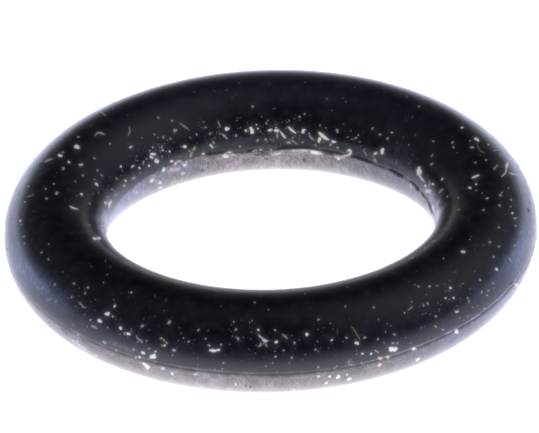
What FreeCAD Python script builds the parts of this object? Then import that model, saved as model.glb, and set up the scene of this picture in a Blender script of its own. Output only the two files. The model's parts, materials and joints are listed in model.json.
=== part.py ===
"""O-ring: one moulded rubber ring of round section, with the trimmed parting line that its two mould halves leave.

Millimetres, +Z up. The origin is at the middle of the ring, on the plane that it lies on.
"""
import FreeCAD, Part
import math
import os
import Sketcher

# Driving sizes, in millimetres, and what each one is
SIZES = {
    "inner_diameter": ("8.0", "across the hole, between the nearest points of the round section"),
    "section_diameter": ("2.5", "thickness of the rubber cord that the ring is made of"),
    "seam_drop": ("0.15", "how far the parting line lies below the middle of the section"),
    "land_height": ("0.09", "height of the narrow land where the flash was trimmed off"),
    "land_stand": ("0.03", "how far that land stands out from the round section"),
    "flank_height": ("0.04", "height over which the land runs back into the lower half"),
    "recess_height": ("0.16", "height of the shallow hollow above the land, left as the rubber shrank"),
    "recess_depth": ("0.03", "depth of that hollow"),
}

# Heights and reaches worked out from the sheet, as expressions for the sketch
SECTION_RADIUS = "Sizes.section_diameter / 2"
MEAN_RADIUS = "(Sizes.inner_diameter + Sizes.section_diameter) / 2"
SEAM_HEIGHT = f"{SECTION_RADIUS} - Sizes.seam_drop"
LAND_TOP = f"{SEAM_HEIGHT} + Sizes.land_height / 2"
LAND_BOTTOM = f"{SEAM_HEIGHT} - Sizes.land_height / 2"
RECESS_TOP = f"{LAND_TOP} + Sizes.recess_height"
FLANK_BOTTOM = f"{LAND_BOTTOM} - Sizes.flank_height"
LAND_REACH = f"sqrt(({SECTION_RADIUS})^2 - Sizes.seam_drop^2) + Sizes.land_stand"
RECESS_RADIUS = (
    "Sizes.recess_depth / 2 + (Sizes.recess_height^2 + Sizes.land_stand^2) / (8 * Sizes.recess_depth)"
)

# Sketcher's numbers for the start, the end and the centre of an edge, and for the sketch's origin
START, END, CENTRE = 1, 2, 3
ORIGIN = (-1, 1)

FULL_TURN = 360.0
SIZE_TOLERANCE = 1e-3


def make_sheet(doc):
    """Writes the driving sizes into a spreadsheet, one row each, and names their cells."""
    sheet = doc.addObject("Spreadsheet::Sheet", "Sizes")
    for row, (name, (value, meaning)) in enumerate(SIZES.items(), start=1):
        sheet.set(f"A{row}", name)
        sheet.set(f"B{row}", value)
        sheet.set(f"C{row}", meaning)
        sheet.setAlias(f"B{row}", name)
    doc.recompute()
    return sheet


def origin_feature(body, role):
    """Returns the body's own origin plane or axis of that role."""
    return next(item for item in body.Origin.OriginFeatures if item.Role == role)


def section_points(sheet, side):
    """First guess for the corners of one side of the section, outside for +1 and inside for -1."""
    radius = sheet.section_diameter / 2
    middle = (sheet.inner_diameter + sheet.section_diameter) / 2
    land_top = radius - sheet.seam_drop + sheet.land_height / 2
    land_bottom = land_top - sheet.land_height
    recess_top = land_top + sheet.recess_height
    flank_bottom = land_bottom - sheet.flank_height
    reach = math.sqrt(radius**2 - sheet.seam_drop**2) + sheet.land_stand

    def on_circle(height):
        return FreeCAD.Vector(middle + side * math.sqrt(radius**2 - (height - radius) ** 2), height, 0)

    hollow = on_circle((recess_top + land_top) / 2) - FreeCAD.Vector(side * sheet.recess_depth, 0, 0)
    return {
        "recess_top": on_circle(recess_top),
        "hollow": hollow,
        "land_top": FreeCAD.Vector(middle + side * reach, land_top, 0),
        "land_bottom": FreeCAD.Vector(middle + side * reach, land_bottom, 0),
        "flank_bottom": on_circle(flank_bottom),
    }


def drive(sketch, name, constraint, expression):
    """Adds a constraint with a name and binds its value to the sheet."""
    number = sketch.addConstraint(constraint)
    sketch.renameConstraint(number, name)
    sketch.setExpression(f"Constraints.{name}", expression)


def draw_seam_side(sketch, word, points, upper_end, lower_end, reach_sign):
    """Draws hollow, land and flank on one side, and ties them to both halves and to the sheet."""
    hollow = sketch.addGeometry(Part.Arc(points["recess_top"], points["hollow"], points["land_top"]))
    land = sketch.addGeometry(Part.LineSegment(points["land_top"], points["land_bottom"]))
    flank = sketch.addGeometry(Part.LineSegment(points["land_bottom"], points["flank_bottom"]))

    # An arc may be stored either way round, so each of its ends is looked up by place
    top_of_hollow, foot_of_hollow = START, END
    if (sketch.getPoint(hollow, START) - points["recess_top"]).Length > SIZE_TOLERANCE:
        top_of_hollow, foot_of_hollow = END, START
    sketch.addConstraint(Sketcher.Constraint("Coincident", *upper_end, hollow, top_of_hollow))
    sketch.addConstraint(Sketcher.Constraint("Coincident", hollow, foot_of_hollow, land, START))
    sketch.addConstraint(Sketcher.Constraint("Coincident", land, END, flank, START))
    sketch.addConstraint(Sketcher.Constraint("Coincident", flank, END, *lower_end))
    sketch.addConstraint(Sketcher.Constraint("Vertical", land))

    def height(what, point, expression):
        value = sketch.getPoint(*point).y
        constraint = Sketcher.Constraint("DistanceY", *ORIGIN, *point, value)
        drive(sketch, f"{word}_{what}", constraint, expression)

    height("recess_top", upper_end, RECESS_TOP)
    height("land_top", (land, START), LAND_TOP)
    height("land_bottom", (land, END), LAND_BOTTOM)
    height("flank_bottom", lower_end, FLANK_BOTTOM)
    land_place = Sketcher.Constraint("DistanceX", *ORIGIN, land, START, points["land_top"].x)
    drive(sketch, f"{word}_land_radius", land_place, f"{MEAN_RADIUS} {reach_sign} ({LAND_REACH})")
    hollow_size = Sketcher.Constraint("Radius", hollow, sketch.Geometry[hollow].Radius)
    drive(sketch, f"{word}_recess_radius", hollow_size, RECESS_RADIUS)


def draw_section(sketch, sheet):
    """Draws the round section: an upper and a lower arc of one circle, joined by the seam on both sides."""
    radius = sheet.section_diameter / 2
    centre = FreeCAD.Vector((sheet.inner_diameter + sheet.section_diameter) / 2, radius, 0)
    outside = section_points(sheet, +1)
    inside = section_points(sheet, -1)

    def angle_of(point):
        return math.atan2(point.y - centre.y, point.x - centre.x)

    circle = Part.Circle(centre, FreeCAD.Vector(0, 0, 1), radius)
    upper = sketch.addGeometry(
        Part.ArcOfCircle(circle, angle_of(outside["recess_top"]), angle_of(inside["recess_top"]))
    )
    lower = sketch.addGeometry(
        Part.ArcOfCircle(circle, angle_of(inside["flank_bottom"]), angle_of(outside["flank_bottom"]))
    )
    sketch.addConstraint(Sketcher.Constraint("Coincident", upper, CENTRE, lower, CENTRE))
    sketch.addConstraint(Sketcher.Constraint("Equal", upper, lower))
    drive(sketch, "section_radius", Sketcher.Constraint("Radius", upper, radius), SECTION_RADIUS)
    mean_place = Sketcher.Constraint("DistanceX", *ORIGIN, upper, CENTRE, centre.x)
    drive(sketch, "mean_radius", mean_place, MEAN_RADIUS)
    rest_place = Sketcher.Constraint("DistanceY", *ORIGIN, upper, CENTRE, centre.y)
    drive(sketch, "rest_height", rest_place, SECTION_RADIUS)

    draw_seam_side(sketch, "outer", outside, (upper, START), (lower, END), "+")
    draw_seam_side(sketch, "inner", inside, (upper, END), (lower, START), "-")


def make_ring(doc, sheet):
    """Builds the ring: its section drawn on the upright plane and turned once round the axis."""
    body = doc.addObject("PartDesign::Body", "SealRing")
    body.Label = "seal_ring"
    sketch = body.newObject("Sketcher::SketchObject", "RingSection")
    sketch.AttachmentSupport = (origin_feature(body, "XZ_Plane"), [""])
    sketch.MapMode = "FlatFace"
    doc.recompute()
    draw_section(sketch, sheet)
    doc.recompute()
    ring = body.newObject("PartDesign::Revolution", "RingTurn")
    ring.Profile = sketch
    ring.ReferenceAxis = (origin_feature(body, "Z_Axis"), [""])
    ring.Angle = FULL_TURN
    sketch.Visibility = False
    body.Tip = ring
    body.Placement = FreeCAD.Placement()
    doc.recompute()
    return body, sketch


def check_document(doc, bodies, sketches):
    """Stops where a feature failed, a sketch is loose or a shape isn't one sound solid."""
    for item in doc.Objects:
        if "Invalid" in item.State or "Error" in item.State:
            raise RuntimeError(f"{item.Label} failed: {item.State}")
    for sketch in sketches:
        if not sketch.FullyConstrained:
            raise RuntimeError(f"{sketch.Label} isn't fully constrained")
    for body in bodies:
        if body.Shape.isNull() or not body.Shape.isValid() or len(body.Shape.Solids) != 1:
            raise RuntimeError(f"{body.Label} has no sound solid")


def main():
    doc = FreeCAD.newDocument("ORing")
    sheet = make_sheet(doc)
    body, sketch = make_ring(doc, sheet)
    check_document(doc, [body], [sketch])

    os.makedirs("parts", exist_ok=True)
    body.Shape.exportStep(f"parts/{body.Label}.step")
    box = body.Shape.optimalBoundingBox(False, False)
    print(f"{body.Label}: {box.XLength:.3f} x {box.YLength:.3f} x {box.ZLength:.3f} mm")
    print(f"volume {body.Shape.Volume:.3f} mm3, lowest point {box.ZMin:.4f} mm")


main()
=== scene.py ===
"""An o-ring of black rubber lying on a pale floor, with its moulding seam and the dust and lint on it.

Geometry Nodes sweep the ring's section round, and its seam is then shifted and torn like the real one.
Flakes and fibres lie where the photograph shows them, and Geometry Nodes scatter fine grains.
Metres, +Z up, in the frame of the solid model.
"""

import json
import math
import random

import bmesh
import bpy
import numpy as np
from bpy.props import FloatProperty, FloatVectorProperty, IntProperty, PointerProperty
from mathutils import Matrix, Vector
from mathutils.bvhtree import BVHTree

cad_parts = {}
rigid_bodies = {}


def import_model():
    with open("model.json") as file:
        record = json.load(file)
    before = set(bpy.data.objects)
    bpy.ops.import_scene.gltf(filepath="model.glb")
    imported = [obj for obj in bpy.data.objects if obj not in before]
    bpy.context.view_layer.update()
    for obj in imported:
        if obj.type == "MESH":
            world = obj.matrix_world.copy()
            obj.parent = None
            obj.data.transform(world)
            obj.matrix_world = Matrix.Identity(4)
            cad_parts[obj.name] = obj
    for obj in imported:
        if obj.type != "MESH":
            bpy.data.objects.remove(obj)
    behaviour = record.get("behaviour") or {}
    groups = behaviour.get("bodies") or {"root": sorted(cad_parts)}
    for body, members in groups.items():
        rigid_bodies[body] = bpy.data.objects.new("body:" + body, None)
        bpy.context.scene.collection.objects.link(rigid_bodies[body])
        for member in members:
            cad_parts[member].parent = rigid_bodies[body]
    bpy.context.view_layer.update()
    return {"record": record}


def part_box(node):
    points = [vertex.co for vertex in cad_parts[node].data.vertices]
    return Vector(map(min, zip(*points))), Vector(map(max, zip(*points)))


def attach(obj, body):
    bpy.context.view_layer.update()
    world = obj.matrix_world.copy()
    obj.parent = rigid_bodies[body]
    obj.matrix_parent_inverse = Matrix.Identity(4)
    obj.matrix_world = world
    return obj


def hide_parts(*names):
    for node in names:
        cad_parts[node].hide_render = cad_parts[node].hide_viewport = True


bl_info = {
    "name": "O-ring",
    "version": (1, 0, 0),
    "blender": (4, 5, 0),
    "location": "3D View > Sidebar > O-ring",
    "description": "Builds a moulded rubber o-ring with its seam, dust and lint",
    "category": "Object",
}

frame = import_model()

# Sizes read from the solid model: its box and its two seats
MM = 0.001
RING_NODE = "seal_ring"
RING_LOW, RING_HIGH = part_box(RING_NODE)
SEATS = {mount["name"]: mount for mount in frame["record"]["mounts"]}
BORE_RADIUS = SEATS["shaft_seat"]["dims"]["r_mm"] * MM
RIM_RADIUS = SEATS["housing_seat"]["dims"]["r_mm"] * MM
LAND_HEIGHT = SEATS["housing_seat"]["dims"]["length_mm"] * MM
SEAM_HEIGHT = SEATS["housing_seat"]["pos_m"][2]
SECTION_DIAMETER = RING_HIGH.z - RING_LOW.z

# The photograph's frame, in pixels
PHOTO_WIDTH, PHOTO_HEIGHT = 539, 433
SENSOR_WIDTH = 36.0

# The nearest and the farthest that the camera sees, in metres
NEAREST, FARTHEST = 0.01, 10.0

# Glow of the floor where it is seen level (0) to straight from above (1)
FLOOR_GLOW = (
    (0.0, (0.135, 0.15, 0.215)), (0.2, (0.155, 0.165, 0.23)), (0.4, (0.285, 0.29, 0.39)),
    (0.6, (0.38, 0.38, 0.46)), (0.8, (0.44, 0.42, 0.45)), (0.92, (0.52, 0.49, 0.51)),
    (1.0, (0.60, 0.56, 0.58)),
)

# Share of that glow along the floor, from in front of the ring to behind it: place in mm, share
FLOOR_SHARE = (
    (-16, 0.2), (-12, 0.55), (-9.3, 1.0), (-6, 1.0), (-3, 0.75), (3.5, 0.75), (6.5, 1.0), (7.5, 1.0),
    (10, 1.9), (20, 1.9),
)

# Glow of each side of the room, from the horizon (0) to straight above (1)
SKY_GLOW = {
    "right": (
        (0.0, (0.06, 0.075, 0.115)), (0.11, (0.16, 0.19, 0.275)), (0.28, (0.31, 0.32, 0.385)),
        (0.55, (0.35, 0.35, 0.40)), (1.0, (0.112, 0.112, 0.13)),
    ),
    "left": (
        (0.0, (0.065, 0.07, 0.085)), (0.19, (0.10, 0.105, 0.125)), (0.4, (0.108, 0.108, 0.13)),
        (0.55, (0.068, 0.068, 0.083)), (1.0, (0.112, 0.112, 0.13)),
    ),
    "back": (
        (0.0, (0.92, 0.92, 0.97)), (0.07, (0.25, 0.25, 0.28)), (0.13, (0.022, 0.022, 0.028)),
        (0.6, (0.02, 0.02, 0.026)), (1.0, (0.112, 0.112, 0.13)),
    ),
    "front": ((0.0, (0.01, 0.012, 0.017)), (0.6, (0.02, 0.02, 0.028)), (1.0, (0.112, 0.112, 0.13))),
}

# The floor's own colour and roughness, and the soft lamp's width and tilt
FLOOR_COLOUR = (0.4, 0.4, 0.4, 1)
FLOOR_ROUGHNESS = 0.9
LAMP_WIDTH = math.radians(70)
LAMP_TILT = math.radians(40)

# Noise of the moulded skin: what it makes, the input for its size, that size, and its detail
SKIN_NOISE = (
    ("Height", "Grain size", 0.05 * MM, 3.0),
    ("Mottle", "Mottle size", 0.3 * MM, 5.0),
    ("Specks", "Speck size", 0.035 * MM, 1.0),
)
SKIN_HEIGHT = 0.004 * MM
SKIN_RELIEF = 0.5
RIPPLE_DETAIL = 2.0

# How the skin's noise breaks up film and shine: its least and most, then what they become
THIN_SPECKS = (0.60, 0.78, 0.0, 0.14)
THIN_MOTTLE = (0.45, 0.72, 0.0, 0.010)
THICK_MOTTLE = (0.3, 0.7, 0.08, 0.22)
THICK_SPECKS = (0.3, 0.7, 0.35, 1.65)
ROUGH_MOTTLE = (0.3, 0.7, 0.18, 0.31)
DUSTY_ROUGHNESS = 0.55

# Dust: its roughness, and the size and range of the noise that shades it
DUST_ROUGHNESS = 0.75
SHADE_SIZE = 0.03 * MM
SHADE_RANGE = (0.3, 0.7, 0.8, 1.0)
FIBRE_SIDES = 6

# Crumbs that flakes and grains are made of: lobes on each, their heights, its size and its fine bumps
CRUMB_LOBES = 7
LOBE_HEIGHTS = (-0.35, 0.25)
CRUMB_SIZE = 0.95
CRUMB_BUMPS = (-0.25, 0.2)

# Least and most length and width of a speck, in the photograph's pixels
SPECK_LENGTHS = (2.2, 3.4)
SPECK_WIDTHS = (1.6, 2.4)

# How high a fibre's middle lies and how uneven its width is, as shares of its half width
FIBRE_LIFT = 0.8
FIBRE_UNEVEN = (0.8, 1.2)

# Scattered grains: how clumps follow their noise, least and most width, length and height as shares, and
# where each colour starts in a draw from 0 to 1
CLUMP_DETAIL = 3.0
CLUMP_RANGE = (0.42, 0.68, 0.1, 1.0)
GRAIN_LIMITS = ((0.7, 0.45, 0.35), (1.0, 0.8, 0.6))
GRAIN_TINTS = (
    ("ash", 0.0), ("grey", 0.60), ("white", 0.88), ("cream", 0.91), ("blue", 0.95), ("rust", 0.96),
    ("umber", 0.98),
)

# Dust and painted bluish sheen round the section: middle and spread of each band, in degrees from the
# outside over the top
INNER_DUST = (166, 9)
INNER_DUST_ABOVE = (11, 9)
OUTER_DUST = (15, 35)
OUTER_DUST_SHARE = 0.12
CREST_DUST = 0.016
SLOPE_PAINTED_SHEEN = (20, 12)
CREST_PAINTED_SHEEN = (108, 28)

# How much closer the section's steps are near the seam
END_CROWDING = 0.6

# Spread of the lens's veil, in pixels, and how much of the light it takes there
VEIL = ((8, 0.27), (18, 0.055))

# The lens's own softness: width in pixels of a blur, and the share of the picture that it takes
LENS_BLUR_WIDTH = 2
LENS_BLUR_SHARE = 0.5

# How far the seam strays up or down from its mean height: angle round the ring in degrees, shift in mm
OUTER_STRAY = (
    (-180, -0.06), (-137, -0.075), (-110, -0.105), (-100, -0.095), (-91, -0.125), (-74, -0.125),
    (-43, -0.045), (-28, -0.005), (20, 0.0), (90, -0.03),
)
INNER_STRAY = (
    (-180, 0.05), (-90, 0.0), (0, 0.10), (15, 0.11), (29, 0.10), (38, 0.07), (47, 0.02), (56, 0.01),
    (62, 0.01), (70, 0.01), (77, 0.02), (84, -0.03), (92, -0.09), (100, -0.08), (107, -0.01), (115, 0.065),
    (140, 0.1),
)

# How much of the hollow and of the land there is: angle round the ring in degrees, share
OUTER_SEAM = (
    (-180, 0.3), (-140, 0.3), (-112, 0.65), (-80, 0.55), (-62, 0.5), (-25, 0.6), (0, 0.5), (90, 1.0),
)
INNER_SEAM = (
    (-180, 0.2), (0, 0.3), (20, 0.3), (60, 0.5), (72, 0.8), (95, 0.6), (112, 0.5), (118, 0.1), (160, 0.0),
)

# How thick the lower half's pale film is: angle round the ring in degrees, share
OUTER_FILM = (
    (-180, 1.0), (-150, 0.95), (-135, 1.0), (-120, 1.05), (-105, 1.45), (-75, 0.88), (-45, 0.85), (-15, 1.7),
    (90, 1.0),
)
INNER_FILM = (
    (-170, 0.33), (-10, 0.33), (8, 0.45), (25, 0.68), (45, 1.0), (62, 1.25), (75, 1.7), (97, 1.7),
    (112, 1.25), (135, 1.55), (165, 2.6),
)

# Where the film ends on the land, as a share of the land's height, how much softer its edge is outside, and
# how much patchier it is inside
FILM_TOP = 0.45
OUTER_FILM_EDGE = 2.2
INNER_SPECKLE = 1.5

# How much painted cool light from the sides tints that film: angle round the ring in degrees, share
OUTER_PAINTED_COOL = ((-180, 1.0), (-155, 0.8), (-130, 0.0), (-65, 0.0), (-50, 1.0), (0, 1.0), (90, 0.5))
INNER_PAINTED_COOL = ((-90, 0.5), (0, 0.7), (40, 0.5), (70, 0.0), (110, 0.0), (140, 0.6), (175, 0.9))

# How thick the painted bluish sheen of the side light is on the outer slope: angle round the ring in
# degrees, share
PAINTED_SHEEN = (
    (-180, 0.12), (-172, 0.2), (-163, 0.4), (-152, 0.24), (-138, 0.02), (-120, 0.01), (-60, 0.0), (-45, 0.0),
    (-32, 0.08), (-15, 0.36), (0, 0.2), (20, 0.0),
)

# How bright the painted highlight is along the hollow's upper edge: angle round the ring in degrees, share
PAINTED_EDGE_HIGHLIGHT = (
    (-180, 0.3), (-150, 0.8), (-125, 0.6), (-112, 1.0), (-95, 0.9), (-80, 0.4), (-62, 2.2), (-50, 3.2),
    (-27, 3.6), (-22, 0.5), (0, 0.0), (90, 0.0),
)

# Stretches where the trimmed edge is torn: side, from, to in degrees, then how far the lip stands and the
# hollow above it sinks, in mm
TEARS = (
    ("inner", 72, 87, 0.045, 0.08),
    ("inner", 92.5, 97.5, 0.035, 0.04),
    ("inner", 103.5, 108, 0.030, 0.02),
    ("inner", 108.5, 113.5, 0.000, 0.07),
    ("inner", 63, 71, 0.000, 0.03),
    ("inner", 50, 60, 0.008, 0.06),
    ("inner", 34.5, 42.5, 0.008, 0.09),
    ("inner", 24, 30.5, 0.000, 0.09),
    ("inner", 4, 24, 0.006, 0.016),
    ("outer", -62, -23, 0.003, 0.002),
)

# Stains seen in the photograph: film that is thicker, in places a painted highlight; film that is missing
# (bare); painted shade of hollows and of dark rubber reflected there, which also dulls it (dark); or torn
# rubber, partly a painted highlight where the lip catches light;
# then the middle in its pixels, length, width, turn in degrees, and strength
STAINS = (
    ("film", 431, 196, 14, 7, -60, 2.6), ("film", 437, 203, 8, 9, 0, 3.0), ("film", 443, 207, 9, 4, 50, 2.0),
    ("film", 447, 197, 5, 4, 80, 0.9), ("film", 438.5, 214, 20, 5, -85, 4.5),
    ("film", 425, 190, 9, 4, 70, 1.8), ("film", 105, 217, 18, 7, 78, 2.8),
    ("film", 97, 219, 22, 10, 80, 0.5), ("film", 107, 199, 12, 5, 50, 1.2),
    ("film", 45, 160.5, 15, 3, 25, 0.9), ("film", 518, 262, 24, 6, 80, 0.6),
    ("film", 381, 363, 14, 8, 80, 0.9), ("film", 204, 156, 9, 7, 0, 1.0),
    ("film", 390, 163, 20, 7, -16, 0.28), ("film", 350, 363, 10, 5, 0, 0.8),
    ("film", 120, 346, 30, 5, -22, 0.5), ("film", 80, 336, 24, 6, -30, 0.8),
    ("film", 408, 178, 7, 6, -30, 0.5), ("film", 180, 158, 22, 8, 20, 0.3),
    ("film", 333, 158, 16, 4, -12, 0.7), ("film", 258, 149, 9, 3, 8, 0.7),
    ("film", 402, 154, 38, 20, -28, 0.18), ("film", 103, 200, 34, 16, 62, 0.35),
    ("bare", 202, 170, 5, 4, 0, 0.5), ("bare", 329, 164, 8, 4, 0, 0.3), ("bare", 245, 161, 6, 3, 0, 0.3),
    ("dark", 225, 148, 50, 6, 12, 0.5), ("dark", 265, 142.5, 60, 7, 4, 0.55),
    ("dark", 312, 142.5, 60, 7, -6, 0.55), ("dark", 352, 150.5, 40, 7, -18, 0.5),
    ("dark", 386, 163, 36, 6, -25, 0.5), ("dark", 304, 159.3, 6, 3, 0, 0.7),
    ("dark", 267, 158, 3, 6, 0, 0.3), ("dark", 261, 153.5, 16, 5, 0, 0.9),
    ("dark", 211, 153.5, 9, 2.6, 0, 0.8), ("dark", 363, 158.6, 25, 4.5, -22, 1.0),
    ("dark", 381, 166.5, 9, 3, -22, 0.7), ("dark", 397.5, 174, 15, 4.2, -30, 1.3),
    ("dark", 417, 188, 8, 5, -52, 1.3), ("dark", 423, 195.6, 11, 2.2, -50, 0.9),
    ("dark", 429.5, 207.5, 18, 2.4, -66, 0.9), ("dark", 298, 146.5, 48, 4.5, -2, 0.9),
    ("dark", 328, 152.5, 14, 4, -14, 0.8), ("scuff", 254.5, 150.3, 5, 2.2, 10, 0.6),
    ("scuff", 260, 149.5, 4, 2, 0, 0.4), ("scuff", 228, 152.3, 8, 2, 10, 0.5),
    ("scuff", 342, 156.5, 6, 3, 20, 0.4), ("scuff", 315.5, 152.2, 11, 2.6, -9, 1.4),
    ("scuff", 300, 149.8, 26, 1.3, 0, 0.8), ("scuff", 277, 153.3, 12, 2, 16, 0.5),
    ("scuff", 176, 169, 12, 4, 20, 0.3), ("scuff", 432.6, 207.6, 10, 3, -66, 0.9),
    ("scuff", 437, 215, 18, 4, -86, 1.0), ("film", 74, 341, 12, 6, -42, 2.4),
    ("film", 82, 347.5, 13, 5, -28, 2.6), ("film", 93, 353, 12, 4, -24, 1.6),
    ("dark", 64, 331, 14, 2.2, -40, 0.5), ("dark", 84, 341.5, 16, 2, -28, 0.5),
    ("dark", 101, 348.5, 14, 2, -24, 0.4), ("bare", 435, 344, 17, 4, 20, 0.5),
    ("bare", 474, 321, 24, 4, 34, 0.45), ("bare", 488, 310, 16, 3.4, 38, 0.5),
)

# How far a stain reaches behind and before its middle, as a share of its length, and how patchy stains are
STAIN_DEPTH = 0.7
STAIN_SPECKLE = 0.45
STAIN_SEED = 5

# Flakes seen in the photograph, by colour: middle in its pixels, length, width, and turn in degrees
FLAKES = {
    "white": (
        (76, 146.3, 8, 5, 5), (184.5, 146, 5, 3, 10), (156.5, 161, 6, 5, 10), (152.5, 153.7, 6.5, 3.2, -5),
        (151, 157, 5.5, 3, -20), (163.5, 169, 5, 4.5, 40), (184, 164.5, 4.5, 3.5, 50),
        (151.5, 180, 6, 5, 20), (158.5, 182, 5, 4, 10), (159.5, 187, 5, 3.5, 0),
        (130.5, 146.5, 4.5, 2.5, 40), (96, 184, 4.5, 3, -65), (108.5, 205, 11, 3.5, 78),
        (104.5, 202.5, 4, 3, -40), (93.8, 238, 5.5, 3.6, -30), (98.5, 238, 5.5, 3.6, 5),
        (59.5, 155.3, 5, 4, 0), (226.5, 128.6, 5, 4.5, -20), (269.5, 130, 5, 3, 8),
        (276.5, 129.8, 8, 2.8, 0), (302.5, 131.5, 4, 4.5, 30), (303.5, 129.5, 4, 2.5, 0),
        (418.2, 170.6, 9, 6.5, -80), (476.4, 139.5, 7.5, 3, -36), (469.5, 187.5, 4, 3, 0),
        (462.7, 251.4, 4.5, 3, 0), (495.7, 268.4, 3.6, 4, 0), (456, 331, 5, 4, 25),
        (413.3, 348.3, 5.5, 3.2, 15), (417.3, 358.5, 5.5, 4.2, 30), (107, 313.3, 7, 5, 5),
        (99.4, 320.6, 5.2, 3.6, -20), (120, 327.4, 4, 4, 0), (128.2, 333.3, 4.5, 3, -15),
        (151.8, 355.8, 6.8, 6, 0), (142.8, 352.6, 5.5, 3, -20), (213, 350.4, 8, 3.4, 0),
        (217.5, 349.6, 4.5, 2.6, 8), (306.4, 333.6, 4.4, 4, 0), (356.2, 342.6, 4.2, 3.4, 0),
        (338, 376.3, 5, 4.2, 0), (391.3, 349, 6, 6, 0), (395.2, 348.2, 5, 5, 30), (428.2, 190.5, 6.5, 5, 20),
        (425.4, 185.6, 4, 3.5, 0), (171.9, 373, 4, 2.8, 90), (349, 149.5, 4, 4, 0),
    ),
    "cream": (
        (251.5, 130.6, 9, 4.2, -72), (245.2, 129.8, 3.6, 3, -20), (323.5, 136.5, 16, 4.2, -36),
        (318.8, 139, 7, 3.8, 80), (333, 141.4, 5, 3, -20), (381.5, 151, 8.5, 5.6, 80),
        (375.4, 152.8, 4.5, 3, 30), (144.8, 364, 12, 4.2, -38), (146.5, 366, 6, 4, -20),
        (348.3, 378.5, 5, 4.4, -30), (515.5, 284.5, 8, 5, -40), (432.8, 183.3, 4, 3.2, -20),
        (203.4, 153.4, 4, 3, 0), (275.2, 341.6, 4.6, 3.4, 0), (225.6, 156.2, 8, 4.2, -15),
        (337.8, 157.2, 4.4, 4, -30), (171.2, 160.8, 3.6, 3, 0), (329.3, 375.8, 4.6, 2.8, 10),
        (326, 382.6, 3.6, 3.4, 0),
    ),
    "blue": ((80.5, 164, 6.5, 2.6, 8), (162.5, 368, 4, 4, 0), (195, 373.6, 4.6, 3.4, 0)),
    "cyan": ((411, 185, 6, 4.4, 85),),
    "rust": (
        (174.8, 163.4, 6.5, 2.6, 60), (179, 160.8, 5.5, 2.4, 5), (170.5, 168.5, 4, 3, 20),
        (182.4, 173.2, 4.4, 3, 0), (232.3, 154.2, 3.4, 2.6, 0), (387.5, 356.5, 5, 3.6, 0),
        (380, 358, 5, 3.6, 10), (379.3, 364.6, 4.8, 4.2, 0), (318.5, 375.9, 3.8, 3, 0),
        (456.5, 311.4, 3.6, 3, 0),
    ),
    "green": ((190.3, 155, 9, 3, 82), (194, 147.5, 6, 3, 60), (346.5, 154, 4.5, 2.4, 10)),
    "grey": (
        (429.5, 184, 6, 3, 75), (270.5, 149.4, 3.6, 4, 0), (374.4, 159.6, 4.4, 3.4, -50),
        (168.6, 321.5, 5.4, 3.6, 60), (174.6, 130, 4.4, 4, 60), (76, 340.5, 6, 3, -50),
        (84, 345.5, 6, 3, -25), (288.3, 141.6, 5, 4, -30), (297.5, 382.5, 4.6, 3.4, 30),
        (133.5, 177.5, 4.6, 4.4, 0), (94, 326.6, 7, 2.8, -15), (104.3, 342, 5, 4, 0),
        (173.6, 349.8, 4, 3.6, 0), (135.5, 357, 4, 3.4, 0), (472, 147, 5.5, 3, -5), (63, 168, 4, 3.6, 0),
        (56.5, 192.5, 4.5, 3.4, 40), (115.5, 194.2, 4, 4, 0), (142, 325.6, 4.2, 3, 20),
        (259.6, 344.8, 5.5, 2.8, 48), (154.5, 175.5, 6, 4, 50), (431.6, 163.4, 4, 3.6, 0),
    ),
    "umber": (
        (528, 209.6, 5, 4.4, 80), (511, 282.6, 4.2, 4, 0), (213.5, 153.4, 9, 2.2, 3), (151, 361, 6, 3, -30),
        (304, 159.4, 5, 2.6, 0),
    ),
}

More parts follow.
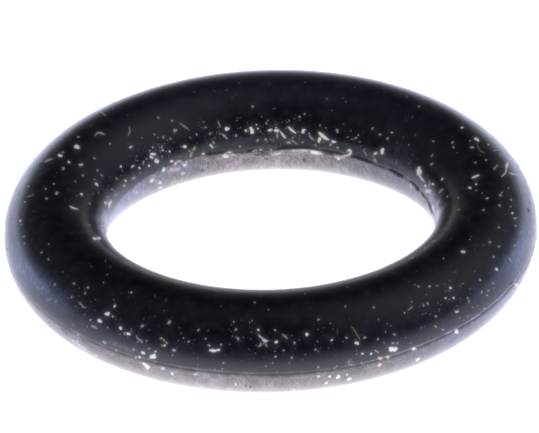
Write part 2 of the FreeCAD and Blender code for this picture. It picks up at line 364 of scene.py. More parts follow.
# Specks of two or three pixels seen in the photograph, by colour: middle in its pixels
SPECKS = {
    "white": (
        (162, 149.8), (169, 151), (148.4, 165), (139, 167.5), (132.2, 165.8), (120.6, 166), (125, 180),
        (123.6, 185.3), (136, 192), (68.3, 161.7), (81, 194), (20, 220.5), (488, 144.2), (512, 213),
        (475.7, 184), (450, 287.4), (445, 297.6), (453, 297.4), (114.3, 305.5), (139, 356.4), (257.8, 329.2),
        (235.5, 383.5), (362, 353), (370.6, 353.4), (331.2, 339.6), (461.5, 127.2), (307, 389.5), (293, 389),
        (442, 178.6), (346.8, 374),
    ),
    "cream": ((257.5, 128), (155, 351), (164, 345), (72, 338.6), (79, 344), (84, 348.6), (95, 354.4)),
    "rust": (
        (77, 340.4), (81, 345), (88, 351), (429, 286), (486.5, 198), (186, 161.5), (228.5, 151.6),
        (335, 156),
    ),
    "green": (
        (161, 338), (163.6, 339.6), (166, 342.2), (161.4, 345), (189, 150.5), (205, 158.5), (209, 159),
    ),
    "grey": (
        (109.5, 143), (158, 117), (171.6, 120.4), (134, 177), (89, 225), (62.4, 152), (61, 139),
        (77.8, 136.6), (46.4, 198), (45.7, 188.6), (23.6, 236), (24, 243), (14, 219), (28, 186),
        (24.6, 201.4), (235.6, 135), (209.4, 133), (239.6, 145.6), (266, 122.8), (299, 116.4), (304, 113.5),
        (252, 106), (213, 142), (336.6, 129.5), (355.6, 137.5), (372.2, 128), (379.6, 134), (387, 138.2),
        (433, 140.8), (425, 202), (500, 155), (485.5, 159.6), (475, 162), (476, 190), (494, 168.4),
        (499, 205), (510, 206.4), (510.5, 199.6), (515, 225.4), (514, 218), (498.5, 227), (458.5, 209),
        (433, 241), (467, 297.6), (514, 245.2), (498.4, 246), (489.4, 241.6), (493, 256.4), (418, 286),
        (481.4, 291.6), (487.6, 290.2), (479.6, 279.4), (492, 283), (427, 303), (435.6, 315.7), (435, 326),
        (442, 329), (484, 307.5), (412, 257.5), (41, 252), (48, 259), (42.5, 287), (54.4, 284), (73.4, 283),
        (87.6, 287), (85, 292.6), (71.3, 296.6), (112.5, 316), (107, 327), (90, 319.4), (115.8, 349.4),
        (78, 333.6), (72, 338), (124, 333), (188.2, 341.2), (197.8, 329.6), (254, 302), (233.2, 321.4),
        (235.6, 329), (237.5, 338), (223, 362.5), (345.8, 337), (345, 306), (373.4, 307), (283, 350),
        (315.2, 349), (274.6, 329.4), (275, 356), (291.4, 357), (397.2, 342.6), (392.6, 342.4),
        (361.2, 362.6), (317.6, 366.6), (334, 367.8), (364.4, 337), (318, 319), (294, 342), (75, 181),
        (94, 179), (89, 203.6), (82.4, 175), (101, 175), (94, 157.6), (97, 170), (116, 178), (106.5, 195.6),
        (111.6, 189), (302, 141.6), (292, 137.4), (276.4, 135), (196, 134), (205, 127), (161.5, 147),
        (154, 133.6), (170, 138), (143, 161), (146, 158.6), (257, 140), (265, 139), (330, 144), (337, 147),
        (315, 144.4), (447, 196), (452, 142), (453, 147), (431.6, 155), (500, 195), (483, 209.6), (520, 232),
        (508, 188), (148.6, 348), (133, 349), (172, 354.6), (208.6, 345), (220.6, 344), (394, 334),
        (377.6, 338.4),
    ),
    "umber": ((266, 158), (202, 170), (416, 186), (452.6, 145.5), (245, 385), (250, 386)),
}

# Fibres seen in the photograph: colour, width in its pixels, and the points that each runs through
FIBRES = (
    ("grey", 2.0, ((94, 136), (97.5, 133), (101, 133.6), (104.5, 135))),
    ("grey", 1.6, ((98, 111.6), (102, 113), (105.6, 116))),
    ("grey", 1.2, ((128.6, 126), (129, 131), (127, 136))),
    ("grey", 1.6, ((178, 122), (183, 125.6), (188.6, 129.6))),
    ("grey", 2.0, ((38, 163.6), (41, 161.5), (43, 159.6))),
    ("grey", 1.8, ((44, 162.4), (48, 160.6), (52, 159))),
    ("white", 2.0, ((69, 206.4), (73, 208.4), (77.6, 209.6))),
    ("grey", 1.3, ((27, 197), (30, 196), (33.6, 194.6))),
    ("green", 1.8, ((217.6, 120), (218, 123), (220, 126.4))),
    ("grey", 2.0, ((221, 133), (224, 135.4), (227, 138.4))),
    ("white", 1.8, ((209, 143.6), (210.6, 145), (212.4, 147.4))),
    ("white", 2.2, ((279.6, 130.6), (282.4, 134), (285, 137.4))),
    ("grey", 1.4, ((276, 132), (277, 135), (276.6, 138))),
    ("white", 2.6, ((287.5, 126), (291, 129), (295.6, 132.6))),
    ("grey", 1.3, ((290, 139), (293.6, 141), (297, 143.6))),
    ("grey", 2.0, ((308.6, 134), (310.6, 136.4), (313.6, 139.4))),
    ("grey", 1.8, ((363, 148.6), (365, 152), (367, 155.4))),
    ("cream", 2.0, ((344, 154.6), (348.6, 154), (350.8, 151), (349.6, 148))),
    ("white", 2.2, ((419.5, 174), (421.6, 177.6), (425, 181.4))),
    ("grey", 1.6, ((428, 187), (429.4, 183), (429, 179.4))),
    ("grey", 2.2, ((439.4, 193), (441, 191), (443.4, 188))),
    ("tan", 1.0, ((476.6, 142.6), (478, 148), (481, 151.6), (484.4, 152.6))),
    ("grey", 1.5, ((492, 151), (495.5, 150.6), (499.4, 150.4))),
    ("white", 2.6, ((507.4, 162.6), (505.6, 165.6), (505.4, 169.6))),
    ("white", 1.6, ((505.4, 169.6), (504.6, 173), (501, 176.4))),
    ("white", 1.5, ((508, 172.6), (511.6, 174), (516.6, 175.2))),
    ("white", 2.4, ((471.4, 178.4), (475, 177), (478.8, 175.4))),
    ("grey", 2.0, ((494, 168.4), (495.6, 166.6), (497, 164.8))),
    ("grey", 1.4, ((498, 195.6), (500.4, 193.6), (502, 191.6))),
    ("grey", 1.4, ((512.6, 219), (515, 217.4), (517, 218.6))),
    ("grey", 1.3, ((46, 300), (49, 299), (52, 297))),
    ("grey", 1.3, ((77.6, 301.6), (80.6, 303.6), (83, 306.4), (86, 307))),
    ("grey", 1.6, ((136, 334.6), (137.4, 337.8), (141, 340), (142.6, 342.8))),
    ("blue", 3.0, ((261.6, 337.6), (264, 340), (267.4, 340.6))),
    ("blue", 1.4, ((257.6, 334), (260, 336.4), (262.6, 338.6))),
    ("grey", 1.6, ((264.4, 342), (265.6, 344.4), (266.4, 346.4))),
    ("green", 1.9, ((281.6, 333.6), (284.4, 335.8), (287, 338.4))),
    ("grey", 1.9, ((373.6, 349), (376, 350.4), (378, 352))),
    ("grey", 1.2, ((349.6, 358), (347.6, 360.6), (350, 363.6), (356.6, 364.4))),
    ("grey", 1.2, ((407, 310), (409.6, 308), (412, 306))),
    ("grey", 1.8, ((507, 257.6), (508.8, 259.4), (510, 262))),
    ("tan", 0.8, ((350.6, 326), (353, 328.6), (357.6, 336), (359.4, 339.4))),
    ("umber", 1.8, ((336, 327.6), (336.6, 331), (336.6, 335.6))),
    ("white", 1.0, ((12.5, 244), (13.5, 254))),
    ("grey", 1.2, ((357, 137), (350, 139))),
)


def a_length(name, description, default):
    """A setting in metres."""
    return FloatProperty(name=name, description=description, default=default, unit="LENGTH")


def a_colour(name, description, default):
    """A setting that is a colour."""
    return FloatVectorProperty(name=name, description=description, default=default, size=3, subtype="COLOR")


def a_number(name, description, default):
    """A setting without a unit."""
    return FloatProperty(name=name, description=description, default=default)


def an_angle(name, description, default):
    """A setting that is an angle."""
    return FloatProperty(name=name, description=description, default=default, unit="ROTATION")


def a_count(name, description, default):
    """A setting that is a whole number."""
    return IntProperty(name=name, description=description, default=default)


class RingShape(bpy.types.PropertyGroup):
    """Sizes of the ring and of its seam."""

    section_diameter: a_length("Section diameter", "Thickness of the rubber", SECTION_DIAMETER)
    mean_radius: a_length(
        "Mean radius", "From the axis to the middle of the section", (BORE_RADIUS + RIM_RADIUS) / 2
    )
    seam_height: a_length("Seam height", "Height of the parting line", SEAM_HEIGHT)
    land_height: a_length("Land height", "Height of the trimmed land", LAND_HEIGHT)
    land_reach: a_length(
        "Land reach", "From the middle of the section to the trimmed land", (RIM_RADIUS - BORE_RADIUS) / 2
    )
    land_wear: a_length("Land wear", "How far the trimmed land is worn back", 0.024 * MM)
    hollow_height: a_length("Hollow height", "Height of the hollow above the land", 0.09 * MM)
    hollow_depth: a_length("Hollow depth", "Depth of that hollow", 0.011 * MM)
    flank_height: a_length("Flank height", "Height of the flank below the land", 0.04 * MM)
    stray_reach: a_length("Stray reach", "How far from the seam the section follows its stray", 0.6 * MM)
    ripple_height: a_length("Ripple height", "Unevenness of the moulded skin", 0.004 * MM)
    ripple_size: a_length("Ripple size", "Length of those ripples", 0.8 * MM)
    rag_height: a_length("Rag height", "Unevenness of the trimmed edge", 0.006 * MM)
    film_edge: a_length("Film edge", "Width of the lower film's edge", 0.03 * MM)
    film_speckle: a_number("Film speckle", "How patchy that film is", 0.3)
    # Painted bluish sheen on the far crest, standing for the glow of light from behind
    far_painted_sheen: a_number("Far bloom", "Bluish bloom on the far side's crest", 0.013)
    steps_round: a_count("Steps round", "Sections round the ring", 1040)
    steps_upper: a_count("Upper steps", "Steps over the upper half", 42)
    steps_lower: a_count("Lower steps", "Steps under the lower half", 26)
    seed: a_count("Seed", "Seed of everything uneven on the ring", 7)


class Finish(bpy.types.PropertyGroup):
    """Colours of the rubber, of the dirt on it, and of its painted sheen and highlights."""

    rubber: a_colour("Rubber", "Black rubber", (0.0007, 0.0011, 0.0032))
    # The film's colour also paints a highlight along the hollow's upper edge
    film: a_colour("Film", "Pale film on the lower half", (0.62, 0.54, 0.57))
    haze: a_colour("Haze", "Thin haze where dust settles", (0.50, 0.57, 0.68))
    # The torn edge's colour also paints the highlight where the lip's crest catches light
    scuff: a_colour("Scuff", "Torn edge of the seam", (0.94, 0.88, 0.90))
    white: a_colour("White dust", "White dust", (0.93, 0.93, 0.94))
    cream: a_colour("Cream dust", "Cream dust", (0.92, 0.89, 0.77))
    blue: a_colour("Blue lint", "Bluish lint", (0.58, 0.62, 0.74))
    cyan: a_colour("Cyan lint", "Greenish blue lint", (0.42, 0.70, 0.68))
    rust: a_colour("Rust dust", "Orange dust", (0.82, 0.66, 0.60))
    grey: a_colour("Grey dust", "Dull dust", (0.36, 0.36, 0.375))
    green: a_colour("Green dust", "Greenish dust", (0.32, 0.35, 0.24))
    tan: a_colour("Tan lint", "Brownish lint", (0.34, 0.28, 0.20))
    ash: a_colour("Ash dust", "Darker grey dust", (0.15, 0.15, 0.165))
    # Painted bluish sheen and painted cool light, standing for the cool light from the sides
    bloom: a_colour("Bloom", "Bluish bloom and film", (0.40, 0.485, 0.79))
    umber: a_colour("Dark dust", "Dark brown dust", (0.05, 0.035, 0.025))


class Dust(bpy.types.PropertyGroup):
    """Sizes and amounts of flakes, fibres and grains."""

    flake_thickness: a_number("Flake thickness", "Thickness of a flake, as a share of its width", 0.35)
    thickest: a_length("Thickest flake", "No flake is thicker than this", 0.05 * MM)
    steepest: a_number("Steepest flake", "Least share of its face that a flake turns to the camera", 0.6)
    fibre_steps: a_count("Fibre steps", "Steps along each fibre", 14)
    fibre_end: a_number("Fibre end", "Width of a fibre's ends, as a share of its middle", 0.4)
    grain_size: a_length("Grain size", "Width of the largest scattered grain", 0.07 * MM)
    smallest: a_number("Smallest grain", "Width of the smallest one, as a share of the largest", 0.42)
    rarity: a_number("Rarity", "How rare large grains are among small ones", 2.4)
    grains_per_area: a_number("Grains per area", "Grains on a square metre where dust is thickest", 8.5e8)
    clump_size: a_length("Clump size", "Distance between clumps of grains", 0.9 * MM)
    seed: a_count("Seed", "Seed of everything uneven in the dust", 11)


class Stage(bpy.types.PropertyGroup):
    """Camera, floor and light."""

    distance: a_length("Distance", "Camera to the ring's middle", 0.315)
    elevation: an_angle("Elevation", "Camera above the floor", math.radians(30.93))
    roll: an_angle("Roll", "Turn of the camera about its view", math.radians(1.71))
    lens: a_number("Lens", "Focal length in mm", 862.6)
    aim_up: a_length("Aim up", "How far above the ring's middle the view is aimed", 0.30 * MM)
    aim_right: a_length("Aim right", "How far right of it the view is aimed", -0.026 * MM)
    floor_size: a_length("Floor size", "Width of the floor", 2.0)
    floor_glow: a_number("Floor glow", "Brightness of the lit floor", 3.6)
    sky_glow: a_number("Sky glow", "Brightness of the room", 1.2)
    lamp_glow: a_number("Lamp glow", "Strength of the soft lamp over the camera", 1.4)


def set_values(item, values):
    """Sets several attributes of a node, light or camera."""
    for name, value in values.items():
        setattr(item, name, value)
    return item


def feed(tree, node, inputs):
    """Gives each input of a node a value, or links it to the output or to the node that feeds it."""
    for name, value in inputs.items():
        if isinstance(value, bpy.types.Node):
            value = value.outputs[0]
        if isinstance(value, bpy.types.NodeSocket):
            tree.links.new(value, node.inputs[name])
        else:
            node.inputs[name].default_value = value


def add_node(tree, kind, inputs=None, **values):
    """Adds a node with its settings and what feeds its inputs."""
    node = set_values(tree.nodes.new(kind), values)
    feed(tree, node, inputs or {})
    return node


def add_maths(tree, operation, first, second=0.0):
    """A sum, product, power or the like of two outputs or numbers."""
    return add_node(tree, "ShaderNodeMath", {0: first, 1: second}, operation=operation).outputs["Value"]


def add_scaled(tree, vector, scale):
    """A vector or colour times a number."""
    node = add_node(tree, "ShaderNodeVectorMath", {0: vector, "Scale": scale}, operation="SCALE")
    return node.outputs["Vector"]


def add_noise(tree, where, size, detail):
    """Noise over a place, in lumps of the given size."""
    per_size = add_node(tree, "ShaderNodeVectorMath", {0: where, 1: size}, operation="DIVIDE")
    inputs = {"Vector": per_size, "Scale": 1.0, "Detail": detail}
    return add_node(tree, "ShaderNodeTexNoise", inputs).outputs["Fac"]


def add_range(tree, value, limits):
    """A value carried over to another range: limits are its least and most, then what they become."""
    inputs = dict(zip(("From Min", "From Max", "To Min", "To Max"), limits))
    return add_node(tree, "ShaderNodeMapRange", {"Value": value, **inputs}).outputs["Result"]


def add_mark(tree, name):
    """A number kept on the mesh, as an output in a shader."""
    return add_node(tree, "ShaderNodeAttribute", attribute_name=name).outputs["Fac"]


def add_named(tree, name, kind):
    """What the points keep under a name, as an output in a geometry tree."""
    node = add_node(tree, "GeometryNodeInputNamedAttribute", {"Name": name}, data_type=kind)
    return node.outputs["Attribute"]


def add_mix(tree, below, above, amount):
    """One colour or output laid over another by an amount from 0 to 1."""
    inputs = {
        name: value if isinstance(value, bpy.types.NodeSocket) else (*value, 1)
        for name, value in (("A", below), ("B", above))
    }
    return add_node(tree, "ShaderNodeMix", {**inputs, "Factor": amount}, data_type="RGBA").outputs["Result"]


def new_material(name):
    """A material with an empty tree, its shader and its output."""
    material = bpy.data.materials.new(name)
    material.use_nodes = True
    tree = material.node_tree
    tree.nodes.clear()
    shader = add_node(tree, "ShaderNodeBsdfPrincipled")
    add_node(tree, "ShaderNodeOutputMaterial", {"Surface": shader})
    return material, tree, shader


def link_object(name, data):
    """A new object at the origin, in the scene."""
    made = bpy.data.objects.new(name, data)
    bpy.context.scene.collection.objects.link(made)
    return made


def smooth_noise(around, count, rng):
    """Even noise from -1 to 1 round the ring, with count random values joined by cosine steps."""
    values = rng.uniform(-1.0, 1.0, count)
    place = (around / (2 * math.pi) % 1.0) * count
    low = np.floor(place).astype(int)
    share = (1 - np.cos((place - low) * math.pi)) / 2
    return values[low % count] * (1 - share) + values[(low + 1) % count] * share


def curve_at(around, knots):
    """Value at each angle, joined evenly between the knots round the whole ring."""
    angles = [math.radians(angle) for angle, value in knots]
    values = [value for angle, value in knots]
    angles.append(angles[0] + 2 * math.pi)
    values.append(values[0])
    turned = angles[0] + (around - angles[0]) % (2 * math.pi)
    return np.interp(turned, angles, values)


def curve_on(outside, around, outer, inner):
    """Value at each angle, from one curve outside the ring and from another inside it."""
    return np.where(outside, curve_at(around, outer), curve_at(around, inner))


def tear_window(around, start, end, rng):
    """From 0 to 1 where a torn stretch runs, with a broken outline."""
    start, end = math.radians(start), math.radians(end)
    middle, half = (start + end) / 2, (end - start) / 2
    off = np.abs((around - middle + math.pi) % (2 * math.pi) - math.pi) / half
    body = np.clip((1.0 - off) * 4.0, 0.0, 1.0)
    broken = 0.7 + 0.3 * smooth_noise(around, 260, rng) + 0.2 * smooth_noise(around, 700, rng)
    return body * np.clip(broken, 0.0, 1.2)


def land_stand(shape):
    """How far the worn land stands out from the round section."""
    radius = shape.section_diameter / 2
    return shape.land_reach - shape.land_wear - math.sqrt(radius**2 - (radius - shape.seam_height) ** 2)


def seam_rows(shape):
    """One side of the seam from top to bottom, as rows of height, offset from the round, land and hollow."""
    half = shape.land_height / 2
    stand = land_stand(shape)
    rows = []
    hollow_steps = 8
    deepest = 4 / hollow_steps
    for step in range(hollow_steps):
        down = step / hollow_steps
        ramp = max(0.0, down - deepest) / (1 - deepest)
        sunk = down / deepest if down < deepest else 1 - ramp
        height = half + (1 - down) * shape.hollow_height
        rows.append((height, stand * ramp - shape.hollow_depth * sunk, ramp, sunk, 0.0))
    rows += [(half * up, stand, 1.0, 0.0, up) for up in (1.0, 0.4, -0.4, -1.0)]
    rows.append((-half - shape.flank_height * 0.5, stand * 0.5, 0.5, 0.0, -0.5))
    rows.append((-half - shape.flank_height, 0.0, 0.0, 0.0, 0.0))
    return rows


def section_loop(shape):
    """The closed section as points about its middle, with how much of land, hollow and edge each one is."""
    radius = shape.section_diameter / 2
    drop = shape.seam_height - radius
    points = []

    def add_side(side, rows):
        for height, offset, land, hollow, edge in rows:
            level = drop + height
            reach = math.sqrt(radius**2 - level**2) + offset
            points.append((side * reach, level, land, hollow, edge))

    def add_arc(start, end, steps):
        for step in range(1, steps):
            share = step / steps
            share -= END_CROWDING * math.sin(2 * math.pi * share) / (2 * math.pi)
            turn = start + (end - start) * share
            points.append((radius * math.cos(turn), radius * math.sin(turn), 0.0, 0.0, 0.0))

    rows = seam_rows(shape)
    top = math.asin((drop + rows[0][0]) / radius)
    bottom = math.asin((drop + rows[-1][0]) / radius)
    add_side(1, rows)
    add_arc(bottom, -math.pi - bottom, shape.steps_lower)
    add_side(-1, rows[::-1])
    add_arc(math.pi - top, top, shape.steps_upper)
    return points


def start_tree(name, inputs):
    """A new geometry tree: returns it, the outputs of its named inputs, and each input's identifier."""
    tree = bpy.data.node_groups.new(name, "GeometryNodeTree")
    identifiers = {
        label: tree.interface.new_socket(label, in_out="INPUT", socket_type=f"NodeSocket{kind}").identifier
        for label, kind in {"Geometry": "Geometry", **inputs}.items()
    }
    return tree, add_node(tree, "NodeGroupInput").outputs, identifiers


def end_tree(tree, last, material):
    """Ends a tree as every one here ends: realized, with its material, to the output."""
    tree.interface.new_socket("Result", in_out="OUTPUT", socket_type="NodeSocketGeometry")
    real = add_node(tree, "GeometryNodeRealizeInstances", {"Geometry": last})
    finish = add_node(tree, "GeometryNodeSetMaterial", {"Geometry": real, "Material": material})
    add_node(tree, "NodeGroupOutput", {"Result": finish})


def make_sweep_tree(material):
    """Geometry nodes that sweep the section round the axis and ripple its skin."""
    inputs = {"Mean radius": "Float", "Steps round": "Int", "Ripple height": "Float", "Ripple size": "Float"}
    tree, given, identifiers = start_tree("SweepSection", inputs)
    profile = add_node(tree, "GeometryNodeMeshToCurve", {"Mesh": given["Geometry"]})
    circle = {"Radius": given["Mean radius"], "Resolution": given["Steps round"]}
    path = add_node(tree, "GeometryNodeCurvePrimitiveCircle", circle)
    upright = add_node(tree, "GeometryNodeSetCurveNormal", {"Curve": path}, mode="Z_UP")
    sweep = add_node(tree, "GeometryNodeCurveToMesh", {"Curve": upright, "Profile Curve": profile})
    place = add_node(tree, "GeometryNodeInputPosition").outputs["Position"]
    normal = add_node(tree, "GeometryNodeInputNormal").outputs["Normal"]
    waves = add_maths(tree, "SUBTRACT", add_noise(tree, place, given["Ripple size"], RIPPLE_DETAIL), 0.5)
    offset = add_scaled(tree, normal, add_maths(tree, "MULTIPLY", waves, given["Ripple height"]))
    move = add_node(tree, "GeometryNodeSetPosition", {"Geometry": sweep, "Offset": offset})
    smooth = add_node(tree, "GeometryNodeSetShadeSmooth", {"Geometry": move})
    end_tree(tree, smooth, material)
    return tree, identifiers


def run_nodes(carrier, tree, identifiers, values, name):
    """Runs a geometry tree on the carrier, and returns the result as a plain mesh object."""
    modifier = carrier.modifiers.new(tree.name, "NODES")
    modifier.node_group = tree
    for label, value in values.items():
        modifier[identifiers[label]] = value
    bpy.context.view_layer.update()
    graph = bpy.context.evaluated_depsgraph_get()
    mesh = bpy.data.meshes.new_from_object(carrier.evaluated_get(graph))
    mesh.name = name
    carrier.modifiers.remove(modifier)
    bpy.data.objects.remove(carrier)
    return link_object(name, mesh)


def read_places(mesh):
    """The mesh's points as an array."""
    places = np.zeros(len(mesh.vertices) * 3, np.float32)
    mesh.vertices.foreach_get("co", places)
    return places.reshape(-1, 3).astype(float)


def read_marks(mesh, name):
    """A number kept on each point of the mesh."""
    values = np.zeros(len(mesh.vertices), np.float32)
    mesh.attributes[name].data.foreach_get("value", values)
    return values.astype(float)


def write_marks(mesh, name, values):
    """Keeps a number on each point of the mesh."""
    layer = mesh.attributes.get(name) or mesh.attributes.new(name, "FLOAT", "POINT")
    layer.data.foreach_set("value", values.astype(np.float32))


def tear_seam(mesh, shape):
    """Shifts the seam up and down, roughens its trimmed edge and tears it where the real one is torn."""
    rng = np.random.default_rng(shape.seed)
    places = read_places(mesh)
    land, hollow, edge = (read_marks(mesh, name) for name in ("land", "hollow", "edge"))
    radius = shape.section_diameter / 2
    around = np.arctan2(places[:, 1], places[:, 0])
    reach = np.hypot(places[:, 0], places[:, 1]) - shape.mean_radius
    level = places[:, 2] - radius
    side = np.sign(reach)
    outside = side > 0

    # Where the seam is faint, its land and hollow go back into the round section
    share = curve_on(outside, around, OUTER_SEAM, INNER_SEAM)
    reach -= side * (1 - share) * (land * land_stand(shape) - hollow * shape.hollow_depth)
    lip = np.zeros(len(places))
    sunk = np.zeros(len(places))
    for where, start, end, stand, depth in TEARS:
        here = tear_window(around, start, end, rng) * (side == (1 if where == "outer" else -1))
        lip = np.maximum(lip, here * stand * MM)
        sunk = np.maximum(sunk, here * depth * MM)
    fine = 0.6 * smooth_noise(around, 420, rng) + 0.4 * smooth_noise(around, 1000, rng)
    stand = land * (lip + shape.rag_height * fine * share) - hollow * sunk
    level += edge * shape.rag_height * smooth_noise(around, 560, rng)
    level += np.maximum(edge, 0) * lip * 0.5
    reach += side * stand

    # The lower half of the mould left a pale film, which ends raggedly at the land
    ragged = 0.015 * MM * smooth_noise(around, 330, rng) + 0.01 * MM * smooth_noise(around, 900, rng)
    top_of_film = shape.seam_height - radius + shape.land_height * FILM_TOP + ragged
    width = shape.film_edge * np.where(outside, OUTER_FILM_EDGE, 1.0)
    film = np.clip((top_of_film - level) / width + 0.5, 0, 1)
    film *= 1.25 - 0.5 * np.clip((top_of_film - level) / radius, 0, 1)
    film *= np.clip(rng.normal(1.0, shape.film_speckle * np.where(outside, 1.0, INNER_SPECKLE)), 0, 2)
    film *= curve_on(outside, around, OUTER_FILM, INNER_FILM)
    # A painted highlight, in the film's colour, along the hollow's upper edge where that edge catches light
    broken = 0.7 + 0.5 * smooth_noise(around, 240, rng) + 0.3 * smooth_noise(around, 700, rng)
    highlight_rows = outside * (land == 0) * (hollow > 0)
    film = np.maximum(film, highlight_rows * curve_at(around, PAINTED_EDGE_HIGHLIGHT) * np.clip(broken, 0, 1.3))

    # The seam and what is near it slide round the section by the stray
    stray = MM * curve_on(outside, around, OUTER_STRAY, INNER_STRAY)
    off = np.abs(level + radius - shape.seam_height) / shape.stray_reach
    follow = np.where(off < 1, (1 + np.cos(np.minimum(off, 1) * math.pi)) / 2, 0)
    turn = side * stray * follow / radius
    turned_reach = reach * np.cos(turn) - level * np.sin(turn)
    level = reach * np.sin(turn) + level * np.cos(turn)
    out = shape.mean_radius + turned_reach
    places = np.stack([out * np.cos(around), out * np.sin(around), level + radius], axis=1)
    mesh.vertices.foreach_set("co", places.astype(np.float32).ravel())
    # The lip's top is marked pale: torn rubber, partly a painted highlight where its crest catches light
    write_marks(mesh, "scuff", np.clip(np.maximum(edge, 0) * lip / (0.09 * MM), 0, 1))
    write_marks(mesh, "film", film)
    # How much painted cool light tints the film
    write_marks(mesh, "cool", curve_on(outside, around, OUTER_PAINTED_COOL, INNER_PAINTED_COOL))
    mesh.update()


def band(turn, middle, spread):
    """From 0 to 1 over a band of the section."""
    return np.exp(-(((turn - middle) / spread) ** 2))


def mark_dust(mesh, shape):
    """Keeps on each point how much dust settles there, and how much painted bluish sheen."""
    rng = np.random.default_rng(shape.seed + 1)
    places = read_places(mesh)
    around = np.arctan2(places[:, 1], places[:, 0])
    reach = np.hypot(places[:, 0], places[:, 1]) - shape.mean_radius
    turn = np.degrees(np.arctan2(places[:, 2] - shape.section_diameter / 2, reach))
    rightward, backward = (places[:, axis] / shape.mean_radius for axis in (0, 1))
    off_floor = np.clip(places[:, 2] / MM - 0.3, 0, 1)
    patches = 0.6 + 0.4 * smooth_noise(around, 23, rng) + 0.25 * smooth_noise(around, 61, rng)

    # The inner slope's band is wider above its middle, above all on the left, and thicker on the left
    middle, below = INNER_DUST
    above, more = INNER_DUST_ABOVE
    inner = band(turn, middle, np.where(turn < middle, above + more * np.clip(-rightward, 0, 1), below))
    inner *= 0.12 + 0.88 * np.clip(0.55 - 1.2 * rightward, 0, 1)
    # Painted bluish sheen on the outer slope at the sides and on the far crest, standing for the cool light
    # reflected there
    bloom = curve_at(around, PAINTED_SHEEN) * band(turn, *SLOPE_PAINTED_SHEEN)
    bloom += shape.far_painted_sheen * np.clip(backward, 0, 1) * band(turn, *CREST_PAINTED_SHEEN)
    write_marks(mesh, "bloom", bloom * np.clip(rng.normal(1.0, shape.film_speckle, len(places)), 0, 2))
    dust = CREST_DUST + inner + OUTER_DUST_SHARE * band(turn, *OUTER_DUST)
    write_marks(mesh, "dust", np.clip(dust * patches, 0, 1) * off_floor)


def make_surface_group():
    """Shader group of the moulded skin: height, mottle and specks, over the object's own coordinates."""
    group = bpy.data.node_groups.new("MouldedSkin", "ShaderNodeTree")
    for result, label, size, detail in SKIN_NOISE:
        group.interface.new_socket(label, in_out="INPUT", socket_type="NodeSocketFloat")
        group.interface.new_socket(result, in_out="OUTPUT", socket_type="NodeSocketFloat")
    given = add_node(group, "NodeGroupInput").outputs
    where = add_node(group, "ShaderNodeTexCoord").outputs["Object"]
    made = {
        result: add_noise(group, where, given[label], detail) for result, label, size, detail in SKIN_NOISE
    }
    add_node(group, "NodeGroupOutput", made)
    return group


def make_rubber(finish):
    """Black rubber with a fine moulded skin, and the film, torn edges and painted sheen, highlights and
    shade marked on it.
    """
    material, tree, shader = new_material("black_rubber")
    sizes = {label: size for result, label, size, detail in SKIN_NOISE}
    skin = add_node(tree, "ShaderNodeGroup", sizes, node_tree=make_surface_group()).outputs
    mottle, specks = skin["Mottle"], skin["Specks"]
    marks = ("dust", "scuff", "film", "bloom", "cool", "dull")
    dust, scuff, lower, bloom, cool, dull = (add_mark(tree, name) for name in marks)

    # Film: thin where dust settles and thicker on the lower half, broken up by the mottle and by fine specks
    thin = add_maths(tree, "MULTIPLY", add_range(tree, specks, THIN_SPECKS), dust)
    thin = add_maths(tree, "ADD", thin, add_range(tree, mottle, THIN_MOTTLE))
    thick = add_maths(tree, "MULTIPLY", add_range(tree, mottle, THICK_MOTTLE), lower)
    thick = add_maths(tree, "MULTIPLY", thick, add_range(tree, specks, THICK_SPECKS))
    # The film takes on painted cool light, then the painted sheen, the film with its painted highlight and
    # the torn edge with its painted highlight are laid over the rubber
    film = add_mix(tree, finish.film, finish.bloom, cool)
    colour = add_mix(tree, finish.rubber, finish.haze, thin)
    for above, amount in ((finish.bloom, bloom), (film, thick), (finish.scuff, scuff)):
        colour = add_mix(tree, colour, above, amount)

    # Roughness follows the mottle, and the stains of painted shade and dusty places are dull
    rough = add_maths(tree, "MAXIMUM", add_range(tree, mottle, ROUGH_MOTTLE), dull)
    rough = add_maths(tree, "MAXIMUM", rough, add_maths(tree, "MULTIPLY", dust, DUSTY_ROUGHNESS))
    relief = {"Height": skin["Height"], "Distance": SKIN_HEIGHT, "Strength": SKIN_RELIEF}
    bump = add_node(tree, "ShaderNodeBump", relief)
    feed(tree, shader, {"Base Color": colour, "Roughness": rough, "Normal": bump})
    return material


def make_ring(shape, finish):
    """Builds the ring and returns its object."""
    points = section_loop(shape)
    loop = bpy.data.meshes.new("ring_section")
    # The sweep lays the section's second axis downwards
    corners = [(out, -(level + shape.section_diameter / 2), 0.0) for out, level, *marks in points]
    edges = [(step, (step + 1) % len(points)) for step in range(len(points))]
    loop.from_pydata(corners, edges, [])
    for number, name in enumerate(("land", "hollow", "edge"), start=2):
        write_marks(loop, name, np.array([point[number] for point in points]))
    carrier = link_object("ring_section", loop)
    tree, identifiers = make_sweep_tree(make_rubber(finish))
    values = {
        "Mean radius": shape.mean_radius,
        "Steps round": shape.steps_round,
        "Ripple height": shape.ripple_height,
        "Ripple size": shape.ripple_size,
    }
    ring = run_nodes(carrier, tree, identifiers, values, "rubber_ring")
    tear_seam(ring.data, shape)
    mark_dust(ring.data, shape)
    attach(ring, "root")
    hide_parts(RING_NODE)
    return ring


def camera_frame(stage):
    """Where the camera stands, its right, up and forward directions, and its focal length in pixels."""
    middle = Vector((0, 0, SECTION_DIAMETER / 2))
    back = Vector((0, -math.cos(stage.elevation), math.sin(stage.elevation)))
    right = Vector((1, 0, 0))
    up = back.cross(right)
    rolled_right = right * math.cos(stage.roll) - up * math.sin(stage.roll)
    rolled_up = right * math.sin(stage.roll) + up * math.cos(stage.roll)
    stand = middle + back * stage.distance + rolled_up * stage.aim_up + rolled_right * stage.aim_right
    return stand, rolled_right, rolled_up, -back, stage.lens / SENSOR_WIDTH * PHOTO_WIDTH


